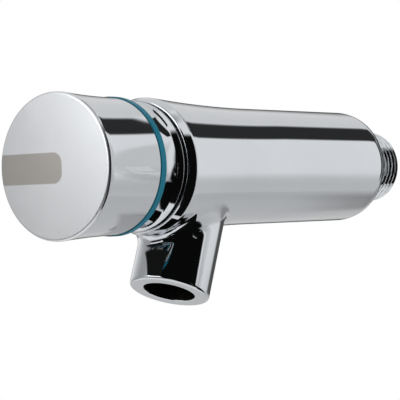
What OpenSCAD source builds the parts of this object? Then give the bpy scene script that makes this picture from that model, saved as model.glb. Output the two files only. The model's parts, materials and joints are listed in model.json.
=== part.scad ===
// Wall-mounted push tap that closes by itself after a set time.
// The tap's axis lies along Y: the button faces -Y, the inlet thread points along +Y into the wall.
// The origin is on that axis, in the plane of the shoulder that meets the wall. Millimetres, +Z up.

/* [Body] */
// Diameter of the plain barrel
barrel_d = 32; // [30:0.5:36]
// Length of the body from its front edge to the wall shoulder
body_len = 96; // [92:1:120]
// Height of the front ridge above the barrel
ridge_rise = 1.85; // [1:0.05:3]
// How far the front edge lies below the ridge
front_drop = 0.7; // [0.3:0.05:0.9]
// Distance from the front edge back to the ridge
ridge_setback = 2.8; // [2:0.1:5]
// Width of the ridge's flat crest
ridge_land = 0.3; // [0.2:0.05:0.6]
// Length of the flare between the ridge and the plain barrel
flare_len = 42; // [30:1:60]
// Length of the rounded rear edge
rear_len = 7.5; // [6:0.25:10]

/* [Inlet] */
// Major diameter of the half-inch pipe thread
thread_d = 20.955; // [20.5:0.005:21.5]
// Pitch of the thread, 14 to the inch
thread_pitch = 1.814; // [1.5:0.001:2.2]
// Depth of the thread
thread_depth = 1.162; // [0.8:0.001:1.3]
// Length of the threaded nipple
thread_len = 12.5; // [10:0.5:20]
// Width of a thread's flat crest and of its flat root
thread_flat = 0.3; // [0.2:0.05:0.4]
// Width of the flat shoulder between the thread and the rounded rear edge
shoulder_w = 0.52; // [0.4:0.02:1.2]
// Length of the plain run-out between the shoulder and the thread
thread_neck = 0.5; // [0.4:0.1:1.5]
// Length of the plain lead at the thread's end
thread_lead = 0.4; // [0.3:0.1:1]
// Diameter of the inlet passage
inlet_bore_d = 14; // [11:0.5:14.5]
// Diameter of the strainer's seat in the mouth of the inlet
strainer_seat_d = 16; // [15:0.1:16.4]
// Depth of the strainer's seat
strainer_seat_depth = 4; // [3:0.5:6]

/* [Spout] */
// Outer diameter of the spout
spout_d = 21.1; // [19:0.1:23]
// Bore of the spout's mouth
spout_bore_d = 13.6; // [12:0.2:14.5]
// Forward lean of the spout from the vertical, in degrees
spout_lean = 23.5; // [15:0.5:30]
// Depth of the mouth's centre below the tap's axis
spout_drop = 32.9; // [31:0.1:45]
// Distance of the mouth's centre behind the body's front edge
spout_setback = 8.5; // [8:0.1:12]
// Rounding of the mouth's outer edge
lip_round = 0.8; // [0.3:0.1:1.5]
// Diameter of the waterway above the mouth
waterway_d = 10.4; // [8:0.2:11]
// How deep the snap ring sits in the mouth
outlet_recess = 8.6; // [6:0.2:9]

/* [Head collar] */
// Wall of the sleeve that the button slides on
sleeve_wall = 3.2; // [2.6:0.1:3.6]
// Length of the sleeve in front of its bevel
sleeve_len = 17; // [15:0.5:19]
// Length of the bevel between the sleeve and the body
bevel_len = 2.2; // [1.5:0.1:3]
// Depth of the hollow in the sleeve in front of the bevel
waist_depth = 0.5; // [0.3:0.05:0.8]
// Length of that hollow
waist_len = 7; // [6:0.1:7.4]
// Wall of the threaded tail inside the body
tail_wall = 1.9; // [1.5:0.1:2]
// Length of the threaded tail
tail_len = 5; // [4:0.5:6]
// Width of the guide ring
guide_w = 3; // [2:0.1:4]
// Depth of the guide ring's groove
guide_depth = 0.7; // [0.5:0.05:1]

/* [Button] */
// Travel of the button
travel = 6; // [4:0.5:7]
// Length of the button from its face to the colour ring
button_len = 20.2; // [18:0.2:24]
// Wall of the button's skirt at its rear edge
skirt_wall = 1.24; // [1.1:0.02:2]
// How much wider the button's face is than its rear edge, on the radius
button_flare = 0.86; // [0.4:0.02:2]
// Rounding of the edge of the face
face_round = 0.7; // [0.3:0.1:1.2]
// Width of the flat band behind that rounding
face_land = 0.3; // [0.2:0.05:0.6]
// Thickness of the face
face_wall = 2.5; // [2:0.1:3]
// Width of the colour ring
ring_w = 2; // [1.6:0.1:4]
// How far the colour ring stands proud of the button
ring_proud = 0.2; // [0.1:0.05:0.5]
// Thickness of the colour ring
ring_t = 0.6; // [0.5:0.05:0.8]
// Room left between the colour ring and the bevel when pressed
ring_room = 1.6; // [1:0.1:3]
// Thickness of the hub's disc
hub_t = 2.2; // [1.6:0.1:3]
// Diameter of the hub's boss
boss_d = 13; // [12:0.2:13.4]

/* [Cartridge] */
// Outer diameter of the timing cylinder
cylinder_d = 24.8; // [23.6:0.1:25.2]
// Bore of the timing chamber
chamber_d = 18; // [17.6:0.1:18.4]
// Thickness of the cylinder's front wall
front_wall_t = 5; // [4.5:0.1:7]
// How far the cylinder reaches behind the body's ledge
cylinder_tail = 8; // [7.6:0.1:9]
// Thickness of the clamping flange
flange_t = 2; // [1.5:0.1:3]
// Thickness of the gasket under the flange
gasket_t = 1; // [0.6:0.1:2]
// Cord diameter of the cartridge's and the seat's O-rings
seal_cord = 1.5; // [1.2:0.1:1.6]
// Diameter of the pocket for the stem's bush and seal
bush_d = 10; // [9.4:0.1:12]
// Length of the stem's bush
bush_len = 2; // [1:0.1:2.4]
// Length of the cap's plug inside the chamber
plug_len = 3.5; // [3:0.1:4]
// Thickness of the cap's flange
cap_t = 1.8; // [1.4:0.1:2.4]
// Diameter of the cap's flange
cap_d = 20.2; // [19.8:0.1:21]
// Length of the cage's spigot inside the cylinder
spigot_len = 3.2; // [2.5:0.1:4]

/* [Valve] */
// Diameter of the stem
stem_d = 6; // [5.6:0.1:6.4]
// Diameter of the stem's threaded ends
stem_end_d = 5; // [4.4:0.1:5]
// Length of the piston
piston_len = 5; // [4.4:0.1:7]
// Room behind the piston when pressed
piston_room = 3.6; // [3:0.1:6]
// Length of the cage's windows
window_len = 12; // [10:0.5:14]
// Width of a cage window
window_w = 11; // [9:0.5:12]
// Length of the solid rings at the ends of the windows
window_margin = 2; // [1.5:0.1:3]
// Diameter of the cage's rear plug
seat_plug_d = 21.4; // [20.6:0.1:21.8]
// Length of the cage's rear plug
seat_plug_len = 5.8; // [5.2:0.1:8]
// Outer diameter of the seat ring
seat_d = 16; // [15.6:0.1:16.6]
// Bore of the seat ring
seat_bore_d = 11; // [10:0.1:11.6]
// Height of the seat's lip
seat_lip = 0.5; // [0.3:0.1:1]
// How far the valve's head reaches past the seat ring, on the radius
valve_over = 0.4; // [0.2:0.05:0.7]
// Thickness of the valve's washer
washer_t = 2.5; // [2:0.1:4]
// Length of the valve's head
valve_len = 4.5; // [4:0.1:6]

/* [Springs and small parts] */
// Wire of the return spring
wire_d = 1.3; // [1:0.05:1.4]
// Mean diameter of the return spring
spring_d = 16.6; // [16:0.1:18]
// Turns of the return spring
spring_turns = 4.5; // [3.5:0.5:5]
// Width across the flats of the stem's nuts
nut_flats = 8; // [7.6:0.1:8.4]
// Thickness of the stem's nuts
nut_t = 2.4; // [2:0.1:3.2]
// Diameter of the bleed pin
pin_d = 1; // [0.6:0.1:1]
// Thickness of the piston's clip and of the stem's shoulder
clip_t = 0.8; // [0.6:0.05:1]

/* [Clearances] */
// Clearance of a turned piece in the bore it slips into, on the radius
slip_gap = 0.3; // [0.2:0.05:0.4]
// Clearance of a running fit, on the radius
run_gap = 0.05; // [0.03:0.01:0.08]
// Clearance of a seated or screwed piece, on the radius
seat_gap = 0.1; // [0.05:0.01:0.15]
// Clearance of a piece pressed into its seat, on the radius
press_gap = 0.02; // [0.01:0.01:0.05]
// Clearance between the cartridge's rear ring and the body's step
end_gap = 0.3; // [0.2:0.05:0.5]

/* [Hidden] */

round_fn = 96;
fine_fn = 240;
cord_fn = 32;
// Small overlap that joins shapes drawn in parts, and how far a cut runs past what it cuts
join = 0.01;
over = 1;

chrome = [0.84, 0.86, 0.88];
brass = [0.78, 0.64, 0.36];
steel = [0.66, 0.68, 0.7];
rubber = [0.1, 0.1, 0.11];
pale_plastic = [0.9, 0.9, 0.87];
grey_plastic = [0.42, 0.44, 0.46];
petrol_blue = [0.02, 0.36, 0.46];
gasket_red = [0.52, 0.2, 0.14];

// Radii of the body's outline
barrel_r = barrel_d / 2;
ridge_r = barrel_r + ridge_rise;
front_r = ridge_r - front_drop;
flare_arc = (pow(ridge_rise, 2) + pow(flare_len, 2)) / (2 * ridge_rise);
thread_r = thread_d / 2;
root_r = thread_r - thread_depth;
shoulder_r = thread_r + shoulder_w;
rear_drop = barrel_r - shoulder_r;
rear_arc = (pow(rear_drop, 2) + pow(rear_len, 2)) / (2 * rear_drop);

// Radii of the cartridge and of the bores around it
cylinder_r = cylinder_d / 2;
cartridge_bore_r = cylinder_r + slip_gap;
tail_r = cartridge_bore_r + tail_wall;
head_bore_r = tail_r + seat_gap;
flange_r = head_bore_r - slip_gap;
chamber_r = chamber_d / 2;
cap_r = cap_d / 2;
stem_r = stem_d / 2;
stem_end_r = stem_end_d / 2;
stem_hole_r = stem_r + run_gap;
end_hole_r = stem_end_r + press_gap;
seat_plug_r = seat_plug_d / 2;
valve_bore_r = seat_plug_r + seat_gap;
valve_r = seat_d / 2 + valve_over;

// Radii of the sleeve and of the button that slides on it
sleeve_r = cartridge_bore_r + sleeve_wall;
skirt_bore_r = sleeve_r + slip_gap;
button_rear_r = skirt_bore_r + skirt_wall;
button_face_r = button_rear_r + button_flare;
ring_r = button_rear_r + ring_proud;
ring_bore_r = ring_r - ring_t;
ring_spigot_r = ring_bore_r - seat_gap / 2;
guide_groove_r = sleeve_r - guide_depth;
waist_r = sleeve_r - waist_depth;
waist_arc = (pow(waist_depth, 2) + pow(waist_len, 2)) / (2 * waist_depth);

// Places along the tap's axis, counted from the wall shoulder, negative towards the button
front_z = -body_len;
ridge_z = front_z + ridge_setback;
flare_z = ridge_z + ridge_land;
flare_end_z = flare_z + flare_len;
bevel_z = front_z - bevel_len;
sleeve_front_z = bevel_z - sleeve_len;
waist_z = bevel_z - waist_len;
tail_z = front_z + tail_len;
ledge_z = tail_z + flange_t + gasket_t;
cylinder_rear_z = ledge_z + cylinder_tail;
cap_rear_z = cylinder_rear_z - spigot_len;
cap_ledge_z = cap_rear_z - cap_t;
cap_front_z = cap_ledge_z - plug_len;

// The piston's stack, from its rear end at full travel back to rest
stop_gap = 0.1;
clip_rear_z = cap_front_z - piston_room - travel;
piston_rear_z = clip_rear_z - clip_t;
piston_front_z = piston_rear_z - piston_len;
chamber_front_z = piston_front_z - clip_t - stop_gap;
cylinder_front_z = chamber_front_z - front_wall_t;
stem_collar_step = 1.3;
stem_collar_r = stem_r + stem_collar_step;
pin_room = 0.6;
pin_offset = stem_collar_r + pin_room + pin_d / 2;
pin_end_gap = 0.4;
pin_hole_r = pin_d / 2 + seat_gap;

// The cage and the valve behind the cylinder
window_z = cylinder_rear_z + window_margin;
window_end_z = window_z + window_len;
cage_rear_z = window_end_z + window_margin;
step_z = cage_rear_z + end_gap;
plug_rear_z = cage_rear_z + seat_plug_len;
seat_face_z = plug_rear_z + seat_lip;
cage_bore_step = 0.6;
cage_bore_r = seat_d / 2 + cage_bore_step;
washer_proud = 1;
stem_tip = 1;
valve_front_z = seat_face_z + washer_proud;
washer_rear_z = seat_face_z + washer_t;
valve_rear_z = valve_front_z + valve_len;
valve_nut_z = valve_rear_z + nut_t;
stem_rear_z = valve_nut_z + stem_tip;
valve_room = 2;
valve_bore_end_z = stem_rear_z + travel + valve_room;

// The button at rest, its full travel ahead of the bevel
ring_rear_z = bevel_z - travel - ring_room;
ring_front_z = ring_rear_z - ring_w;
face_z = ring_front_z - button_len;
face_back_z = face_z + face_wall;
hub_rear_z = face_back_z + hub_t;
side_len = button_len - face_round - face_land;
side_arc = (pow(button_flare, 2) + pow(side_len, 2)) / (2 * button_flare);
boss_room = 1.3;
stem_thread_end = 0.3;
boss_rear_z = cylinder_front_z - travel - boss_room;
nut_room = 0.6;
nut_recess_r = nut_flats / sqrt(3) + nut_room;
stem_front_z = face_back_z + nut_room;
nut_recess_z = stem_front_z + stem_thread_end + nut_t;

// The spout's own pieces, counted up its axis from the mouth
spout_r = spout_d / 2;
spout_bore_r = spout_bore_d / 2;
waterway_r = waterway_d / 2;
clip_wire = 0.8;
clip_groove = 0.35;
straightener_h = 2.6;
regulator_h = 4.2;
clip_top = outlet_recess + clip_wire;
straightener_top = clip_top + straightener_h;
regulator_top = straightener_top + regulator_h;
spout_ledge = regulator_top + seat_gap;
spout_len = spout_drop / cos(spout_lean);
spout_mouth_y = -body_len + spout_setback;
insert_r = spout_bore_r - seat_gap;

// Turned shapes are drawn as [radius, place] and laid along the tap's axis
module on_axis() {
  rotate([-90, 0, 0]) children();
}

module turned(points) {
  on_axis() rotate_extrude($fn = round_fn) polygon(points);
}

module tube(r_in, r_out, start, end) {
  turned([[r_in, start], [r_out, start], [r_out, end], [r_in, end]]);
}

module rod(r, start, end) {
  on_axis() translate([0, 0, start]) cylinder(r = r, h = end - start, $fn = round_fn);
}

module o_ring(mid_r, cord, place) {
  on_axis() rotate_extrude($fn = round_fn) translate([mid_r, place]) circle(d = cord, $fn = cord_fn);
}

module hex_nut(hole_r, start, end) {
  on_axis() difference() {
    translate([0, 0, start]) cylinder(r = nut_flats / sqrt(3), h = end - start, $fn = 6);
    translate([0, 0, start - over])
      cylinder(r = hole_r, h = end - start + 2 * over, $fn = round_fn);
  }
}

// The spout's own frame: origin at the mouth's centre, +Z up the spout
module in_spout() {
  translate([0, spout_mouth_y, -spout_drop]) rotate([-spout_lean, 0, 0]) children();
}

// Outer outline of the turned body: front bevel, concave flare, barrel and rounded rear edge
module body_outline() {
  polygon([[0, front_z], [front_r, front_z], [ridge_r, ridge_z], [0, ridge_z]]);
  difference() {
    translate([0, ridge_z]) square([ridge_r, ridge_land + flare_len]);
    translate([barrel_r + flare_arc, flare_end_z]) circle(r = flare_arc, $fn = fine_fn);
  }
  translate([0, flare_end_z]) square([barrel_r, -rear_len - flare_end_z]);
  intersection() {
    translate([0, -rear_len]) square([barrel_r, rear_len]);
    union() {
      translate([0, -rear_len]) square([barrel_r - rear_arc, rear_len]);
      translate([barrel_r - rear_arc, -rear_len]) circle(r = rear_arc, $fn = fine_fn);
    }
  }
}

// Threaded nipple, with its crests as closed rings of the thread's own section
thread_foot = (thread_pitch - thread_flat) / 2;
thread_start = thread_neck - thread_flat / 2;
thread_count = floor((thread_len - thread_lead - thread_foot - thread_start) / thread_pitch);

module thread_outline() {
  square([root_r, thread_len]);
  polygon([
    [root_r - join, 0], [thread_r, 0], [thread_r, thread_neck],
    [root_r - join, thread_start + thread_foot]
  ]);
  for (i = [1 : thread_count]) {
    mid = thread_start + i * thread_pitch;
    polygon([
      [root_r - join, mid - thread_foot], [thread_r, mid - thread_flat / 2],
      [thread_r, mid + thread_flat / 2], [root_r - join, mid + thread_foot]
    ]);
  }
}

module spout_outside() {
  in_spout() rotate_extrude($fn = round_fn) {
    translate([0, lip_round]) square([spout_r, spout_len - lip_round]);
    square([spout_r - lip_round, lip_round]);
    intersection() {
      translate([spout_r - lip_round, lip_round]) circle(r = lip_round, $fn = round_fn);
      square([spout_r, lip_round]);
    }
  }
}

module body() {
  color(chrome) difference() {
    union() {
      on_axis() rotate_extrude($fn = fine_fn) body_outline();
      on_axis() rotate_extrude($fn = round_fn) thread_outline();
      spout_outside();
    }
    rod(head_bore_r, front_z - over, ledge_z);
    rod(cartridge_bore_r, ledge_z - over, step_z);
    rod(valve_bore_r, step_z - over, valve_bore_end_z);
    rod(inlet_bore_d / 2, valve_bore_end_z - over, thread_len + over);
    rod(strainer_seat_d / 2, strainer_z, thread_len + over);
    in_spout() {
      translate([0, 0, -over]) cylinder(r = spout_bore_r, h = spout_ledge + over, $fn = round_fn);
      cylinder(r = waterway_r, h = spout_len, $fn = round_fn);
      translate([0, 0, outlet_recess])
        cylinder(r = spout_bore_r + clip_groove, h = clip_wire, $fn = round_fn);
    }
  }
}

// Chromed collar: bevel on the body, hollowed sleeve for the button, threaded tail inside the body
guide_inset = 1.2;
groove_z = sleeve_front_z + guide_inset;

// Hollow of the sleeve: a short slope down behind the button, then a long arc up to the bevel
module waist_outline() {
  polygon([[sleeve_r, waist_z - waist_depth], [waist_r, waist_z], [sleeve_r, waist_z]]);
  intersection() {
    translate([waist_r, waist_z]) square([waist_depth, waist_len]);
    translate([waist_r + waist_arc, waist_z]) circle(r = waist_arc, $fn = fine_fn);
  }
}

module head_collar() {
  edge = 0.5;
  color(chrome) on_axis() rotate_extrude($fn = round_fn) difference() {
    polygon([
      [cartridge_bore_r, sleeve_front_z], [sleeve_r - edge, sleeve_front_z],
      [sleeve_r, sleeve_front_z + edge], [sleeve_r, groove_z], [guide_groove_r, groove_z],
      [guide_groove_r, groove_z + guide_w], [sleeve_r, groove_z + guide_w], [sleeve_r, bevel_z],
      [front_r, front_z], [tail_r, front_z], [tail_r, tail_z], [cartridge_bore_r, tail_z]
    ]);
    waist_outline();
  }
}

module guide_ring() {
  start = groove_z + press_gap;
  slit = 1.2;
  color(pale_plastic) difference() {
    tube(guide_groove_r + press_gap, skirt_bore_r - run_gap, start, start + guide_w - 2 * press_gap);
    translate([-slit / 2, start - over, 0])
      cube([slit, guide_w + 2 * over, skirt_bore_r + over]);
  }
}

module head_gasket() {
  color(gasket_red) tube(cartridge_bore_r, flange_r, ledge_z - gasket_t, ledge_z);
}

// Cartridge housing: stem pocket in front, timing chamber, clamping flange, seal groove behind it
seal_groove_r = cartridge_bore_r - seal_cord - press_gap;
groove_play = 0.4;
seal_groove_w = seal_cord + groove_play;
pocket_floor = 1;
cartridge_seal_z = (ledge_z + cylinder_rear_z) / 2;

module timing_cylinder() {
  bush_r = bush_d / 2;
  pocket_z = chamber_front_z - pocket_floor;
  start = cartridge_seal_z - seal_groove_w / 2;
  end = cartridge_seal_z + seal_groove_w / 2;
  color(grey_plastic) turned([
    [bush_r, cylinder_front_z], [cylinder_r, cylinder_front_z], [cylinder_r, tail_z],
    [flange_r, tail_z], [flange_r, tail_z + flange_t], [cylinder_r, tail_z + flange_t],
    [cylinder_r, start], [seal_groove_r, start], [seal_groove_r, end], [cylinder_r, end],
    [cylinder_r, cylinder_rear_z], [cap_r + seat_gap, cylinder_rear_z],
    [cap_r + seat_gap, cap_ledge_z], [chamber_r, cap_ledge_z], [chamber_r, chamber_front_z],
    [stem_hole_r, chamber_front_z], [stem_hole_r, pocket_z], [bush_r, pocket_z]
  ]);
}

module cartridge_seal() {
  color(rubber) o_ring(cartridge_bore_r - press_gap / 2 - seal_cord / 2, seal_cord, cartridge_seal_z);
}

module stem_bush() {
  color(pale_plastic)
    tube(stem_hole_r, bush_d / 2 - press_gap, cylinder_front_z, cylinder_front_z + bush_len);
}

module stem_seal() {
  cord = bush_d / 2 - stem_r - 2 * run_gap;
  color(rubber) o_ring((stem_r + bush_d / 2) / 2, cord, cylinder_front_z + bush_len + cord / 2);
}

// Rear end of the timing chamber, with its own small seal
cap_seal_cord = 1.2;
cap_groove_r = chamber_r - cap_seal_cord - press_gap;
cap_seal_z = (cap_front_z + cap_ledge_z) / 2;

module cylinder_cap() {
  plug_r = chamber_r - seat_gap;
  start = cap_seal_z - (cap_seal_cord + groove_play) / 2;
  end = cap_seal_z + (cap_seal_cord + groove_play) / 2;
  color(pale_plastic) difference() {
    turned([
      [stem_hole_r, cap_front_z], [plug_r, cap_front_z], [plug_r, start], [cap_groove_r, start],
      [cap_groove_r, end], [plug_r, end], [plug_r, cap_ledge_z], [cap_r, cap_ledge_z],
      [cap_r, cap_rear_z], [stem_hole_r, cap_rear_z]
    ]);
    translate([pin_offset, 0, 0]) rod(pin_d / 2 + press_gap, cap_front_z - over, cap_ledge_z);
  }
}

module cap_seal() {
  color(rubber) o_ring(chamber_r - press_gap / 2 - cap_seal_cord / 2, cap_seal_cord, cap_seal_z);
}

module bleed_pin() {
  color(steel) translate([pin_offset, 0, 0])
    rod(pin_d / 2, chamber_front_z + pin_end_gap, cap_ledge_z);
}

// Windowed cage that lets the water out to the spout and carries the seat
plug_seal_r = valve_bore_r - seal_cord - press_gap;
plug_seal_z = (cage_rear_z + plug_rear_z) / 2;
seat_depth = seat_plug_len - window_margin;

module valve_cage() {
  start = plug_seal_z - seal_groove_w / 2;
  end = plug_seal_z + seal_groove_w / 2;
  seat_r = seat_d / 2 + press_gap;
  seat_floor_z = plug_rear_z - seat_depth;
  color(grey_plastic) difference() {
    turned([
      [cage_bore_r, cap_rear_z], [cap_r, cap_rear_z], [cap_r, cylinder_rear_z],
      [cylinder_r, cylinder_rear_z], [cylinder_r, cage_rear_z], [seat_plug_r, cage_rear_z],
      [seat_plug_r, start], [plug_seal_r, start], [plug_seal_r, end], [seat_plug_r, end],
      [seat_plug_r, plug_rear_z], [seat_r, plug_rear_z], [seat_r, seat_floor_z],
      [seat_bore_d / 2, seat_floor_z], [seat_bore_d / 2, window_end_z], [cage_bore_r, window_end_z]
    ]);
    for (turn = [0, 90])
      rotate([0, turn, 0]) translate([-window_w / 2, window_z, -cylinder_r - over])
        cube([window_w, window_len, 2 * (cylinder_r + over)]);
  }
}

// Ring-shaped seat with a raised lip for the washer
module valve_seat() {
  bore = seat_bore_d / 2;
  lip_w = 1;
  color(steel) turned([
    [bore, plug_rear_z - seat_depth], [seat_d / 2, plug_rear_z - seat_depth],
    [seat_d / 2, plug_rear_z], [bore + lip_w, plug_rear_z], [bore + lip_w, seat_face_z],
    [bore, seat_face_z]
  ]);
}

module seat_seal() {
  color(rubber) o_ring(valve_bore_r - press_gap / 2 - seal_cord / 2, seal_cord, plug_seal_z);
}

// Thimble strainer in the inlet: flange in its seat, slotted wall, closed inner end
strainer_wall = 0.7;
strainer_flange_t = 1;
strainer_depth = 14;
strainer_z = thread_len - strainer_seat_depth;
strainer_ring_recess = 0.4;

module inlet_strainer() {
  outer = inlet_bore_d / 2 - slip_gap;
  inner = outer - strainer_wall;
  flange = strainer_seat_d / 2 - seat_gap;
  end_z = strainer_z - strainer_depth;
  slots = 8;
  slot_w = 1.4;
  slot_margin = 2;
  color(steel) difference() {
    turned([
      [0, end_z], [outer, end_z], [outer, strainer_z], [flange, strainer_z],
      [flange, strainer_z + strainer_flange_t], [inner, strainer_z + strainer_flange_t],
      [inner, end_z + strainer_wall], [0, end_z + strainer_wall]
    ]);
    for (i = [0 : slots - 1])
      rotate([0, i * 360 / slots, 0]) translate([inner - over, end_z + slot_margin, -slot_w / 2])
        cube([strainer_wall + 2 * over, strainer_depth - 2 * slot_margin, slot_w]);
  }
}

module strainer_ring() {
  inner = inlet_bore_d / 2 - slip_gap - strainer_wall;
  start = strainer_z + strainer_flange_t;
  color(rubber) tube(inner, strainer_seat_d / 2 - seat_gap, start, thread_len - strainer_ring_recess);
}

// Pieces in the spout's mouth, from the snap ring upwards
module outlet_clip() {
  gap_w = 3;
  color(steel) in_spout() difference() {
    translate([0, 0, outlet_recess + press_gap]) rotate_extrude($fn = round_fn)
      translate([spout_bore_r - clip_wire, 0])
        square([clip_wire + clip_groove - press_gap, clip_wire - 2 * press_gap]);
    translate([-gap_w / 2, 0, outlet_recess - over]) cube([gap_w, spout_r, clip_wire + 2 * over]);
  }
}

module jet_straightener() {
  hole_r = 1.1;
  hole_margin = 1.7;
  hole_ring = insert_r - hole_margin - hole_r;
  holes = 8;
  color(grey_plastic) in_spout() difference() {
    translate([0, 0, clip_top]) cylinder(r = insert_r, h = straightener_h, $fn = round_fn);
    for (i = [0 : holes - 1])
      rotate([0, 0, i * 360 / holes]) translate([hole_ring, 0, clip_top - over])
        cylinder(r = hole_r, h = straightener_h + 2 * over, $fn = round_fn);
    translate([0, 0, clip_top - over])
      cylinder(r = hole_r, h = straightener_h + 2 * over, $fn = round_fn);
  }
}

regulator_cord = 1;
regulator_seal_z = straightener_top + regulator_h / 2;

module flow_regulator() {
  groove_r = spout_bore_r - regulator_cord - press_gap;
  start = regulator_seal_z - (regulator_cord + groove_play) / 2;
  end = regulator_seal_z + (regulator_cord + groove_play) / 2;
  hole_r = 0.9;
  hole_margin = 1.5;
  hole_ring = waterway_r - hole_margin - hole_r;
  holes = 6;
  color(pale_plastic) in_spout() difference() {
    rotate_extrude($fn = round_fn) polygon([
      [0, straightener_top], [insert_r, straightener_top], [insert_r, start], [groove_r, start],
      [groove_r, end], [insert_r, end], [insert_r, regulator_top], [0, regulator_top]
    ]);
    for (i = [0 : holes - 1])
      rotate([0, 0, i * 360 / holes]) translate([hole_ring, 0, straightener_top - over])
        cylinder(r = hole_r, h = regulator_h + 2 * over, $fn = round_fn);
  }
}

module regulator_seal() {
  mid = spout_bore_r - press_gap / 2 - regulator_cord / 2;
  color(rubber) in_spout() rotate_extrude($fn = round_fn)
    translate([mid, regulator_seal_z]) circle(d = regulator_cord, $fn = cord_fn);
}

// Push button: flat face with a rounded edge, side waisted by a long arc, spigot for the ring
module button_cap() {
  color(chrome) on_axis() rotate_extrude($fn = fine_fn) difference() {
    union() {
      difference() {
        translate([0, face_z + face_round]) square([button_face_r, button_len - face_round]);
        translate([button_rear_r + side_arc, ring_front_z]) circle(r = side_arc, $fn = fine_fn);
      }
      translate([0, face_z]) square([button_face_r - face_round, face_round]);
      intersection() {
        translate([button_face_r - face_round, face_z + face_round])
          circle(r = face_round, $fn = round_fn);
        translate([0, face_z]) square([button_face_r, face_round]);
      }
      translate([0, ring_front_z]) square([ring_spigot_r, ring_w]);
    }
    translate([-over, face_back_z]) square([skirt_bore_r + over, button_len + ring_w]);
  }
}

module colour_ring() {
  edge = 0.2;
  color(petrol_blue) turned([
    [ring_bore_r, ring_front_z], [ring_r, ring_front_z], [ring_r, ring_rear_z - edge],
    [ring_r - edge, ring_rear_z], [ring_bore_r, ring_rear_z]
  ]);
}

// Plastic carrier inside the button, clamped to the stem by a nut in its recess
module button_hub() {
  color(pale_plastic) turned([
    [nut_recess_r, face_back_z], [skirt_bore_r - run_gap, face_back_z],
    [skirt_bore_r - run_gap, hub_rear_z], [boss_d / 2, hub_rear_z], [boss_d / 2, boss_rear_z],
    [end_hole_r, boss_rear_z], [end_hole_r, nut_recess_z], [nut_recess_r, nut_recess_z]
  ]);
}

module stem_nut() {
  color(brass) hex_nut(end_hole_r, nut_recess_z - nut_t, nut_recess_z);
}

// Stem with threaded ends, a collar ahead of the piston and a groove for the clip behind it
clip_bite = 0.6;
clip_groove_r = stem_r - clip_bite;

module stem() {
  color(brass) turned([
    [0, stem_front_z], [stem_end_r, stem_front_z], [stem_end_r, boss_rear_z], [stem_r, boss_rear_z],
    [stem_r, piston_front_z - clip_t], [stem_collar_r, piston_front_z - clip_t],
    [stem_collar_r, piston_front_z], [stem_r, piston_front_z], [stem_r, piston_rear_z],
    [clip_groove_r, piston_rear_z], [clip_groove_r, clip_rear_z], [stem_r, clip_rear_z],
    [stem_r, seat_face_z], [stem_end_r, seat_face_z], [stem_end_r, stem_rear_z], [0, stem_rear_z]
  ]);
}

piston_seal_w = 2.2;
piston_seal_depth = 2;
piston_seal_z = (piston_front_z + piston_rear_z) / 2;

module piston() {
  outer = chamber_r - slip_gap;
  groove_r = chamber_r - piston_seal_depth;
  start = piston_seal_z - piston_seal_w / 2;
  end = piston_seal_z + piston_seal_w / 2;
  bore = stem_r + press_gap;
  color(pale_plastic) difference() {
    turned([
      [bore, piston_front_z], [outer, piston_front_z], [outer, start], [groove_r, start],
      [groove_r, end], [outer, end], [outer, piston_rear_z], [bore, piston_rear_z]
    ]);
    translate([pin_offset, 0, 0]) rod(pin_hole_r, piston_front_z - over, piston_rear_z + over);
  }
}

// Lip seal with a notch that lets its lips spread
module piston_seal() {
  outer = chamber_r - run_gap;
  inner = chamber_r - piston_seal_depth + press_gap;
  mid = (outer + inner) / 2;
  start = piston_seal_z - piston_seal_w / 2 + press_gap;
  end = piston_seal_z + piston_seal_w / 2 - press_gap;
  notch = 0.5;
  color(rubber) turned([
    [inner, start], [mid - notch, start], [mid, start + 2 * notch], [mid + notch, start],
    [outer, start], [outer, end], [inner, end]
  ]);
}

module piston_clip() {
  mouth = 2 * clip_groove_r;
  color(steel) difference() {
    tube(clip_groove_r + press_gap, stem_collar_r, piston_rear_z + press_gap, clip_rear_z - press_gap);
    translate([-mouth / 2, piston_rear_z - over, 0])
      cube([mouth, clip_t + 2 * over, stem_collar_r + over]);
  }
}

// Valve: cup on the stem's rear end, rubber washer that closes on the seat, nut behind
valve_rim = 0.9;

module valve_head() {
  pocket_r = valve_r - valve_rim;
  color(brass) turned([
    [pocket_r, valve_front_z], [valve_r, valve_front_z], [valve_r, valve_rear_z],
    [end_hole_r, valve_rear_z], [end_hole_r, washer_rear_z], [pocket_r, washer_rear_z]
  ]);
}

module valve_washer() {
  color(rubber) tube(end_hole_r, valve_r - valve_rim - press_gap, seat_face_z, washer_rear_z);
}

module valve_nut() {
  color(brass) hex_nut(end_hole_r, valve_rear_z, valve_nut_z);
}

// Return spring: one wire along a helix, with a ring of points for every eighth of a turn
ring_steps = 8;
wire_sides = 6;
seat_touch = 0.03;
spring_start_z = hub_rear_z + wire_d / 2 + seat_touch;
spring_end_z = cylinder_front_z - wire_d / 2 - seat_touch;
spring_rings = spring_turns * ring_steps;

function helix_point(i) =
  let (turn = i * 360 / ring_steps, share = i / spring_rings)
  [
    spring_d / 2 * cos(turn), spring_d / 2 * sin(turn),
    spring_start_z + share * (spring_end_z - spring_start_z)
  ];

function wire_point(i, side) =
  let (turn = i * 360 / ring_steps, around = side * 360 / wire_sides, mid = helix_point(i))
  mid + wire_d / 2 * [cos(around) * cos(turn), cos(around) * sin(turn), sin(around)];

// Least clear distance between points that lie at least half a turn apart along the wire
spring_self_gap = min([
  for (i = [0 : spring_rings], j = [i + ring_steps / 2 : spring_rings])
    norm(helix_point(i) - helix_point(j))
]) - wire_d;
echo(spring_least_gap = spring_self_gap);

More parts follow.
